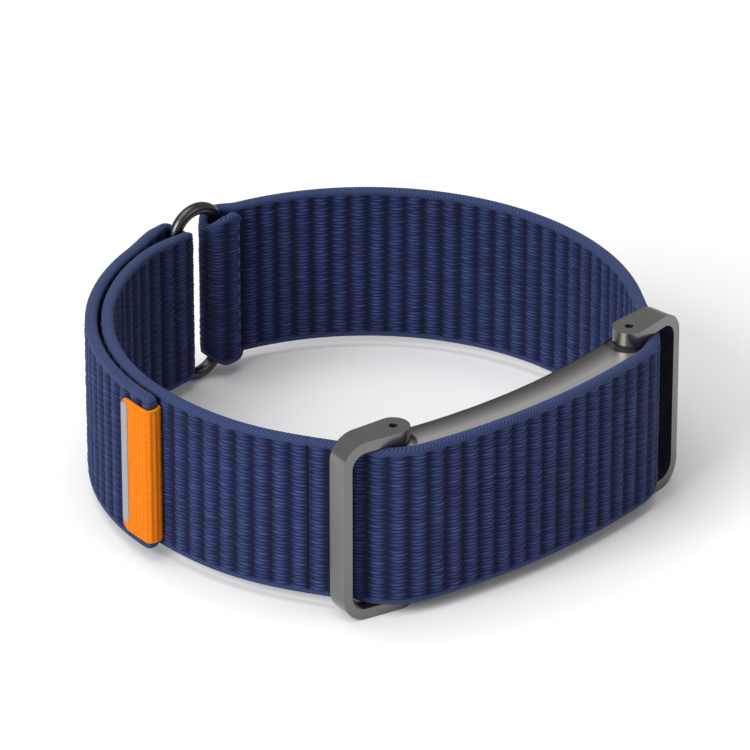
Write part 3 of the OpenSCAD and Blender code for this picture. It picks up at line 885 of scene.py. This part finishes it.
@dataclass
class Section:
    """The cross-section of a woven strip in millimetres: flat faces and a rounded selvage."""

    thickness: float = 1.5
    low: float = 1.5
    width: float = 21.0
    edge: float = 0.36
    selvage: float = 0.75
    selvage_fade: float = 0.35
    cells: int = 184
    edge_cells: int = 5

    def rings(
        self, points: np.ndarray, sides: np.ndarray, places: np.ndarray, trims: np.ndarray,
        thins: Optional[np.ndarray] = None,
    ) -> tuple[np.ndarray, dict[str, np.ndarray], int]:
        """Lays the section along a course.

        Args:
            points: the course's points in plan.
            sides: the sideways direction at each point.
            places: each point's distance along the course.
            trims: how much narrower each edge is there.
            thins: how much nearer the middle each face is there.

        Returns:
            The strip's points in metres, its attributes and the number of points in a ring.
        """
        half = self.thickness / 2 - (0 * places if thins is None else thins)
        share = np.linspace(0.0, 1.0, self.cells + 1)
        bend = np.linspace(0.0, math.pi, self.edge_cells + 2)[1:-1]
        count = len(places)
        low = (self.low + trims + self.edge)[:, None]
        high = (self.low + self.width - trims - self.edge)[:, None]
        face_z = low + (high - low) * share[None, :]
        ones = np.ones_like(face_z)
        top_z = high + self.edge * np.sin(bend)[None, :]
        low_z = low - self.edge * np.sin(bend)[None, :]
        out_top = np.cos(bend)[None, :] * np.ones((count, 1))
        out = np.concatenate([ones, out_top, -ones, -out_top], axis=1)
        z = np.concatenate([face_z, top_z, face_z[:, ::-1], low_z], axis=1)
        up = np.concatenate(
            [0 * ones, np.sin(bend)[None, :] + 0 * out_top, 0 * ones, -np.sin(bend)[None, :] + 0 * out_top],
            axis=1,
        )
        xy = points[:, None, :] + (half[:, None] * out)[:, :, None] * sides[:, None, :]
        place = np.concatenate([xy, z[:, :, None]], axis=2)
        rise = np.concatenate([out[:, :, None] * sides[:, None, :], up[:, :, None]], axis=2)
        inset = np.minimum(z - (low - self.edge), (high + self.edge) - z)
        rim = 1.0 - blend_in((inset - self.selvage) / self.selvage_fade + 0.5)
        rim = np.where(np.abs(out) < 0.999, 1.0, rim)
        ring = out.shape[1]
        marks = {
            "along": (places[:, None] + 0 * z).ravel() * MM, "across": (z - self.low).ravel() * MM,
            "rim": rim.ravel(), "rise": rise.reshape(-1, 3),
        }
        return place.reshape(-1, 3) * MM, marks, ring

    def strip(
        self, name: str, finish: Finish, points: np.ndarray, sides: np.ndarray, places: np.ndarray,
        trims: np.ndarray, thins: Optional[np.ndarray] = None,
    ) -> bpy.types.Object:
        """Makes the closed smooth strip, with the arguments of rings, a name and a finish."""
        place, marks, ring = self.rings(points, sides, places, trims, thins)
        faces = tube_faces(len(places), ring, False)
        caps = []
        for start in (0, (len(places) - 1) * ring):
            wide = self.cells
            for i in range(wide):
                a, b = start + i, start + i + 1
                c = start + wide + 1 + self.edge_cells + wide - i
                caps.append([a, b, c - 1, c])
            top = [start + wide + i for i in range(self.edge_cells + 2)]
            low = [start + ring - self.edge_cells + i for i in range(self.edge_cells)]
            caps.append(top)
            caps.append([start + 2 * wide + 1 + self.edge_cells] + low + [start])
        return capped(make_object(name, place, faces, finish, marks), caps)


END_STEPS = np.array([0.03, 0.12, 0.25, 0.55])  # millimetres from a strip's end to its closer rings


@dataclass
class Strap:
    """The webbing in its pieces, from the sewn lap round the wrist to the free end, in millimetres."""

    course: StrapCourse
    weave: WeaveRelief
    section: Section = field(default_factory=Section)
    rib_pitch: float = 2.4
    cells_per_rib: int = 6
    fold_trim: float = 1.2
    fold_thin: float = 0.19
    press_run: float = 0.6
    press_fade: float = 1.8
    bow_inside: float = 6.75
    bow_corner: float = 2.0
    bow_gap: float = 0.06
    bow_slack: float = 0.12
    bow_near: float = 1.3
    bow_fade: float = 0.9
    end_round: float = 1.0
    hinge_run: float = 1.6

    def folded(self, places: np.ndarray) -> tuple[np.ndarray, np.ndarray]:
        """Finds where the webbing is folded round the ring.

        Args:
            places: distances along the course in millimetres.

        Returns:
            How near each place is to the middle of a turn, from 0 to 1, and how hard the ring presses on it.
        """
        marks = self.course.marks
        turned, pressed = np.zeros_like(places), np.zeros_like(places)
        for start, end in (("lap", "fold_right"), ("inner_layer", "fold_left")):
            away = np.abs(places - (marks[start] + marks[end]) / 2)
            half = (marks[end] - marks[start]) / 2
            turned = np.maximum(turned, np.cos(np.clip(away / half, 0.0, 1.0) * math.pi / 2) ** 2)
            pressed = np.maximum(pressed, 1.0 - blend_in((away - half - self.press_run) / self.press_fade))
        return turned, pressed

    def trims(self, places: np.ndarray) -> np.ndarray:
        """Returns how much narrower each edge is, at places along the course in millimetres."""
        total = self.fold_trim * self.folded(places)[0]
        points, _ = self.course.at(places)
        for side in (-1.0, 1.0):
            x, y = self.course.in_bow(points, side)
            corner = self.bow_inside - self.bow_corner
            depth = np.clip(x + self.section.thickness / 2 + self.bow_slack - corner, 0.0, self.bow_corner)
            need = self.bow_gap + self.bow_corner - np.sqrt(self.bow_corner**2 - depth**2)
            near = 1.0 - blend_in((np.abs(y) - self.bow_near) / self.bow_fade)
            total = np.maximum(total, np.where((x > 0) & (depth > 0), need * near, 0.0))
        for end in (0.0, self.course.length[-1]):
            share = np.clip(1.0 - np.abs(places - end) / self.end_round, 0.0, 1.0)
            total = np.maximum(total, self.end_round * (1.0 - np.sqrt(1.0 - share**2)))
        return total

    def build(self) -> list[bpy.types.Object]:
        """Builds every stretch of webbing.

        Returns:
            The pieces.
        """
        marks = self.course.marks
        pitch = self.rib_pitch
        start, end = marks["fold_right"], marks["inner_layer"]
        cuts = [start] + [round((start + (end - start) * k / 3) / pitch) * pitch for k in (1, 2)] + [end]
        names = ("webbing_rear", "webbing_tracker", "webbing_inner_layer")
        made = [self.stretch("webbing_fixed_loop", 0.0, start, "strap_fixed_loop")]
        for name, low, high in zip(names, cuts, cuts[1:]):
            made.append(self.stretch(name, low, high, "strap_main"))
        outer = self.raised("webbing_outer_layer", end, self.course.length[-1])
        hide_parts("strap_return", "strap_free_end")
        peel = marks["outer_layer"]
        hinge, _ = self.course.at(np.array([peel - self.hinge_run, peel + self.hinge_run]))
        mid_z = (self.section.low + self.section.width / 2) * MM
        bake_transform(outer)
        made.append(outer)
        return made

    def raised(self, name: str, low: float, high: float) -> bpy.types.Object:
        """Makes one stretch of woven webbing between two places in millimetres."""
        step = self.rib_pitch / self.cells_per_rib
        inner = np.arange(math.floor(low / step) + 1, math.ceil(high / step)) * step
        places = np.concatenate([[low], inner[(inner > low + 0.05) & (inner < high - 0.05)], [high]])
        for end in (0.0, self.course.length[-1]):
            if abs(low - end) < 1e-6 or abs(high - end) < 1e-6:
                places = np.unique(np.concatenate([places, np.abs(end - END_STEPS)]))
        points, sides = self.course.at(places)
        thins = self.fold_thin * self.folded(places)[1]
        strip = self.section.strip(name, NAVY, points, sides, places, self.trims(places), thins)
        return self.weave.raise_on(strip, NAVY)

    def stretch(self, name: str, low: float, high: float, node: str) -> bpy.types.Object:
        """Makes one stretch that stands for a CAD node and rides on the band."""
        made = self.raised(name, low, high)
        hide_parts(node)
        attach(made, "band")
        return made


# ---------------------------------------------------------------- pull tab, stripe and hooks


@dataclass
class PullTab:
    """The folded orange tab on the free end, its reflective stripe and the hook patch beneath.

    Sizes are in millimetres, but turn_lead, stripe_lead, hook_end and the creases are in degrees.
    hook_inset keeps the patch that many millimetres from the edges and degrees from the peel.
    """

    course: StrapCourse
    weave: WeaveRelief
    length: float = 4.9
    tape: float = 0.5
    low: float = 2.8
    height: float = 18.2
    lip: float = 2.6
    seat: float = 0.03
    rib_pitch: float = 0.62
    corner: float = 1.1
    float_pitch: float = 0.36
    turn_lead: float = 0.35
    turn_bulge: float = 0.52
    stripe_width: float = 1.3
    stripe_round: float = 0.3
    stripe_lead: float = 0.15
    stripe_low: float = 1.2
    stripe_high: float = 0.6
    stripe_crease: float = 50.0
    hook_crease: float = 40.0
    hook_inset: float = 2.0
    hook_end: float = 9.0
    hook_pitch: float = 0.75
    hook_sides: int = 6
    backing: float = 0.16
    backing_cells: int = 24

    def course_round_end(self) -> np.ndarray:
        """Returns the tape's middle line: along the outer face, round the strap's end and back."""
        outer = self.course.outer_r + self.course.strap_t / 2 + self.seat + self.tape / 2
        inner = self.course.outer_r - self.course.strap_t / 2 - self.seat - self.tape / 2
        end = self.course.free_to
        start = end - math.degrees(self.length / self.course.outer_r)
        back = end - math.degrees(self.lip / self.course.outer_r)
        mid, half = (outer + inner) / 2, (outer - inner) / 2
        turn_at = end - self.turn_lead
        line = [polar(outer, a) for a in np.linspace(start, turn_at, 28)]
        for turn in np.radians(np.linspace(0, 180, 15)[1:-1]):
            bulge = math.degrees(self.turn_bulge * math.sin(turn) / mid)
            line.append(polar(mid + half * math.cos(turn), turn_at + bulge))
        line += [polar(inner, a) for a in np.linspace(turn_at, back, 12)]
        return np.array(line)

    def build(self) -> list[bpy.types.Object]:
        """Builds the tab, the stripe and the hooks.

        Returns:
            The pieces.
        """
        line = self.course_round_end()
        length = np.concatenate([[0.0], np.cumsum(np.linalg.norm(np.diff(line, axis=0), axis=1))])
        step = self.rib_pitch / 6
        places = np.arange(0, length[-1], step)  # with closer rings at the rounded start
        places = np.unique(np.concatenate([places, [0.02, 0.08, 0.3, length[-1]]]))
        points = np.stack([np.interp(places, length, line[:, i]) for i in (0, 1)], axis=1)
        ahead = np.gradient(points, places, axis=0)
        ahead /= np.linalg.norm(ahead, axis=1)[:, None]
        sides = np.stack([ahead[:, 1], -ahead[:, 0]], axis=1)
        share = np.clip(1.0 - places / self.corner, 0.0, 1.0)
        trims = self.corner * (1.0 - np.sqrt(1.0 - share**2))
        section = Section(self.tape, self.low, self.height, edge=0.2, selvage=0.3, cells=150, edge_cells=3)
        tab = section.strip("tab_webbing", ORANGE, points, sides, places, trims)
        self.weave.raise_on(
            tab, ORANGE, Rib_Pitch=self.rib_pitch * MM, Float_Pitch=self.float_pitch * MM, Crest=0.04 * MM,
            Groove=0.13 * MM, Yarn_Depth=0.05 * MM,
        )
        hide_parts("pull_tab")
        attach(tab, "free_end")
        return [tab, self.stripe(), self.hooks()]

    def stripe(self) -> bpy.types.Object:
        """Makes the reflective stripe, a thin plate with rounded corners that follows the tab."""
        radius = self.course.outer_r + self.course.strap_t / 2 + self.seat + self.tape - 0.02
        start = self.course.free_to - math.degrees(self.length / self.course.outer_r) + self.stripe_lead
        low, high = self.low + self.stripe_low, self.low + self.height - self.stripe_high
        rows: list[tuple[float, float, float]] = []
        outline: list[tuple[float, float]] = []
        r, wide, tall = self.stripe_round, self.stripe_width, high - low
        for cx, cz, base in ((wide - r, tall - r, 0), (r, tall - r, 90), (r, r, 180), (wide - r, r, 270)):
            for a in np.linspace(0, 90, 6):
                spot = polar(r, base + a)
                outline.append((cx + spot[0], cz + spot[1]))
        layers = ((0.0, 0.0), (0.09, 0.0), (0.13, 0.05), (0.14, 0.12))
        middle = np.array([wide / 2, tall / 2])
        for rise, inset in layers:
            for x, z in outline:
                pull = 1 - inset / (wide / 2)
                px = middle[0] + (x - middle[0]) * pull
                pz = z - math.copysign(inset, z - middle[1])
                rows.append((radius + rise, start + math.degrees(px / radius), low + pz))
        points = np.array([[*polar(rr, aa), zz] for rr, aa, zz in rows]) * MM
        count = len(outline)
        faces = tube_faces(len(layers), count, False)
        last = (len(layers) - 1) * count
        ends = [list(range(first, first + count)) for first in (0, last)]
        made = capped(make_object("tab_reflector", points, faces, STRIPE), ends)
        angle_sharp(made.data, self.stripe_crease)
        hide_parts("tab_stripe")
        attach(made, "free_end")
        return made

    def hooks(self) -> bpy.types.Object:
        """Makes the hook patch: a backing tape with rows of small mushroom hooks on its wrist side."""
        radius = self.course.outer_r - self.course.strap_t / 2 - self.seat
        low = self.course.strap_z + self.hook_inset
        high = self.course.strap_z + self.course.strap_w - self.hook_inset
        start = self.course.peel_at + self.hook_inset
        end = self.course.free_to - self.hook_end
        angles = np.arange(start + 0.8, end - 0.8, math.degrees(self.hook_pitch / radius))
        spots = [(a, z) for a in angles for z in np.arange(low + 0.5, high - 0.3, self.hook_pitch)]
        profile = ((0.0, 0.11), (0.13, 0.08), (0.14, 0.19), (0.24, 0.12), (0.26, 0.02))
        sides, cells = self.hook_sides, self.backing_cells
        front = radius - self.backing
        back = [polar(r, a) for r in (radius, front) for a in np.linspace(start, end, cells + 1)]
        points = [[*p, z] for z in (low, high) for p in back]
        faces: list[list[int]] = []
        for i in range(cells):
            out_l, in_l, out_h, in_h = (i + k * (cells + 1) for k in range(4))
            faces += [
                [out_l, out_l + 1, out_h + 1, out_h], [in_l, in_h, in_h + 1, in_l + 1],
                [out_l, in_l, in_l + 1, out_l + 1], [out_h, out_h + 1, in_h + 1, in_h],
            ]
        for first in (0, cells):
            out_l, in_l, out_h, in_h = (first + k * (cells + 1) for k in range(4))
            faces.append([out_l, out_h, in_h, in_l])
        for a, z in spots:
            base = len(points)
            centre = polar(1, float(a))
            side = np.array([-centre[1], centre[0]])
            for rise, wide in profile:
                for k in range(sides):
                    turn = 2 * math.pi * k / sides
                    spot = (front - rise) * centre + wide * math.cos(turn) * side
                    points.append([spot[0], spot[1], z + wide * math.sin(turn)])
            faces += (tube_faces(len(profile), sides, False) + base).tolist()
            top = base + (len(profile) - 1) * sides  # two quads close the six-sided head
            faces.append([top, top + 1, top + 2, top + 5])
            faces.append([top + 2, top + 3, top + 4, top + 5])
        made = make_object("hook_tape", np.array(points) * MM, np.array(faces), HOOKS)
        outward(made)
        angle_sharp(made.data, self.hook_crease)
        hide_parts("hook_patch")
        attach(made, "free_end")
        return made


@dataclass
class LapStitching:
    """The seam that closes the fixed loop, in millimetres, each stitch placed by Geometry Nodes."""

    course: StrapCourse
    stitches: int = 11
    stitch_len: float = 1.1
    thread_r: float = 0.16
    from_edge: float = 1.6
    from_end: float = 0.8
    lift: float = 0.02

    def tree(self) -> tuple[bpy.types.NodeTree, dict[str, str]]:
        """Returns the tree that stands a rounded stitch on each point of the seam, and its inputs' keys."""
        kinds = {"Stitch Length": "Float", "Thread Radius": "Float", "Thread": "Material"}
        plan, given, keys = geometry_plan("seam_stitches", kinds)
        half = Signal(plan, given.outputs["Stitch Length"]) * 0.5
        ball = plan.out("GeometryNodeMeshUVSphere", None, {"Segments": 10, "Rings": 8, "Radius": 1.0}, "Mesh")
        thread = Signal(plan, given.outputs["Thread Radius"])
        girth = plan.vector(thread, thread, half)
        shape = plan.out("GeometryNodeTransform", None, {"Geometry": ball, "Scale": girth})
        placed = plan.out(
            "GeometryNodeInstanceOnPoints", None, {"Points": given.outputs["Geometry"], "Instance": shape}
        )
        real = plan.out("GeometryNodeRealizeInstances", None, {"Geometry": placed})
        smooth = plan.out("GeometryNodeSetShadeSmooth", None, {"Geometry": real})
        done = plan.out(
            "GeometryNodeSetMaterial", None, {"Geometry": smooth, "Material": given.outputs["Thread"]}
        )
        plan.add("NodeGroupOutput", None, {"Geometry": done})
        return plan.tree, keys

    def build(self) -> list[bpy.types.Object]:
        """Builds the seam.

        Returns:
            The one piece.
        """
        point, side = self.course.at(np.array([self.from_end]))
        half = self.course.strap_t / 2
        place = point[0] + side[0] * (half + self.lift)
        low = self.course.strap_z + self.from_edge
        high = self.course.strap_z + self.course.strap_w - self.from_edge
        spots = [[*(place * MM), z * MM] for z in np.linspace(low, high, self.stitches)]
        mesh = bpy.data.meshes.new("lap_stitches")
        mesh.from_pydata(spots, [], [])
        made = bpy.data.objects.new("lap_stitches", mesh)
        bpy.context.scene.collection.objects.link(made)
        group, keys = self.tree()
        modifier = made.modifiers.new("stitches", "NODES")
        modifier.node_group = group
        modifier[keys["Stitch Length"]] = self.stitch_len * MM
        modifier[keys["Thread Radius"]] = self.thread_r * MM
        modifier[keys["Thread"]] = THREAD.material()
        baked(made)
        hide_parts("loop_stitching")
        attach(made, "band")
        return [made]


# ---------------------------------------------------------------- metal


@dataclass
class KeeperRing:
    """The oblong ring of round wire that the strap turns round, in millimetres."""

    course: StrapCourse
    height: float = 24.8
    arc_cells: int = 28
    wire_cells: int = 32

    def build(self) -> list[bpy.types.Object]:
        """Builds the ring as one closed tube of wire.

        Returns:
            The one piece.
        """
        reach, wire_r = self.course.arch_r, self.course.wire_d / 2
        low = reach + wire_r
        high = self.height - low
        centre: list[tuple[float, float, float]] = []
        for base, z in ((0.0, high), (180.0, low)):
            for turn in np.linspace(base, base + 180.0, self.arc_cells + 1):
                spot = polar(reach, float(turn))
                centre.append((spot[0], z + spot[1], float(turn)))
        rings = []
        for x, z, turn in centre:
            ray = polar(1.0, turn)
            for k in range(self.wire_cells):
                a = 2 * math.pi * k / self.wire_cells
                out, back = wire_r * math.cos(a), wire_r * math.sin(a)
                rings.append([x + ray[0] * out, self.course.ring_r + back, z + ray[1] * out])
        faces = tube_faces(len(centre), self.wire_cells, True)
        made = outward(make_object("keeper_ring_wire", np.array(rings) * MM, faces, RING_COAT))
        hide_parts("keeper_ring")
        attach(made, "ring")
        return [made]


@dataclass
class Metalwork:
    """The bows and the tracker's housing and cover, with their edges rounded."""

    bow_edge: float = 0.13 * MM
    housing_edge: float = 0.10 * MM
    cover_edge: float = 0.15 * MM

    def build(self) -> list[bpy.types.Object]:
        """Builds the rounded copies.

        Returns:
            The pieces.
        """
        plan = (
            ("left_bow", "left_bow_body", BOW_COAT, self.bow_edge, "bow_metal"),
            ("right_bow", "right_bow_body", BOW_COAT, self.bow_edge, "bow_metal"),
            ("core_housing", "tracker_housing", HOUSING, self.housing_edge, "housing_metal"),
            ("back_cover", "tracker_back", COVER, self.cover_edge, "cover_plastic"),
        )
        made = []
        for node, name, finish, width, slot in plan:
            piece = softened(node, name, finish, width)
            made.append(piece)
        return made


@dataclass
class InnerWorks:
    """The CAD nodes that keep their shape and get a finish."""

    finishes: dict[str, Finish] = field(default_factory=lambda: {
        "left_hinge_pin": PIN_HOLE_SHADE, "right_hinge_pin": PIN_HOLE_SHADE, "hinge_washers": WASHER,
        "cover_seal": SEAL, "cover_screws": SCREW, "sensor_window": WINDOW, "light_shield": SHIELD,
        "leds": LENS, "photodiodes": DIODE, "sensor_board": MASK, "main_board": MASK, "shield_can": CAN,
        "battery": FOIL, "haptic_motor": MOTOR, "antenna": GOLD, "charge_contacts": GOLD,
    })

    def dress(self) -> list[bpy.types.Object]:
        """Gives each node its material.

        Returns:
            The dressed nodes.
        """
        for node, finish in self.finishes.items():
            item = frame["nodes"][node]
            for slot in item.material_slots:
                slot.material = finish.material()
        return [frame["nodes"][node] for node in self.finishes]


# ---------------------------------------------------------------- studio


@dataclass
class Studio:
    """The pale floor, the soft lights and the camera."""

    target: tuple[float, float, float] = (-0.01178, -0.01508, 0.024)
    azimuth: float = -41.1
    elevation: float = 28.35
    distance: float = 0.7986
    lens: float = 321.1
    floor_size: float = 3.0
    world_light: float = 0.47

    def build(self) -> None:
        """Builds the floor, lights, world and camera."""
        self.floor()
        world = bpy.data.worlds.new("studio")
        world.use_nodes = True
        plan = NodePlan(world.node_tree)
        sky = plan.add("ShaderNodeBackground", None, {"Color": (1, 1, 1, 1), "Strength": self.world_light})
        plan.add("ShaderNodeOutputWorld", None, {"Surface": sky.outputs[0]})
        bpy.context.scene.world = world
        self.light("overhead", (-0.25, 0.25, 1.50), 1.30, 12.0)
        self.light("key", (-1.25, -0.05, 0.80), 0.80, 19.0)
        self.light("side", (0.45, -1.30, 0.70), 0.70, 2.0)
        self.camera()
        bpy.context.scene.view_settings.view_transform = "Standard"

    def floor(self) -> None:
        """Makes the floor, a wide plate with its top at the object's base."""
        half = self.floor_size / 2
        corners = np.array([[-half, -half, 0], [half, -half, 0], [half, half, 0], [-half, half, 0]], float)
        paint = Coated("studio_floor", (0.86, 0.86, 0.86), 0.0, 0.75, Grain.SMOOTH, variation=0.01)
        make_object("studio_floor", corners, np.array([[0, 1, 2, 3]]), paint)

    def light(self, name: str, place: tuple[float, float, float], size: float, power: float) -> None:
        """Adds a square soft light that faces the object."""
        lamp = bpy.data.lights.new(name, "AREA")
        lamp.size = size
        lamp.energy = power
        made = bpy.data.objects.new(name, lamp)
        made.location = place
        made.rotation_euler = (Vector(self.target) - Vector(place)).to_track_quat("-Z", "Y").to_euler()
        bpy.context.scene.collection.objects.link(made)

    def camera(self) -> None:
        """Makes the camera and looks through it."""
        a, e = math.radians(self.azimuth), math.radians(self.elevation)
        back = Vector((math.sin(a) * math.cos(e), -math.cos(a) * math.cos(e), math.sin(e)))
        made = bpy.data.objects.new("camera", bpy.data.cameras.new("camera"))
        made.location = Vector(self.target) + back * self.distance
        made.rotation_euler = (-back).to_track_quat("-Z", "Y").to_euler()
        made.data.lens = self.lens
        made.data.clip_start = 0.01
        bpy.context.scene.collection.objects.link(made)
        bpy.context.scene.camera = made


def main() -> None:
    """Builds the studio and each sub-assembly in order."""
    logging.basicConfig(level=logging.INFO, format="%(name)s: %(message)s")
    Studio().build()
    course = StrapCourse()
    weave = WeaveRelief("weave_relief")
    made: list[bpy.types.Object] = []
    strap, tab = Strap(course, weave), PullTab(course, weave)
    for part in (strap, tab, LapStitching(course), KeeperRing(course), Metalwork()):
        made += part.build()
    made += InnerWorks().dress()
    for item in made:
        LOG.info("%s: %d faces", item.name, len(item.data.polygons))


if __name__ == "__main__":
    main()
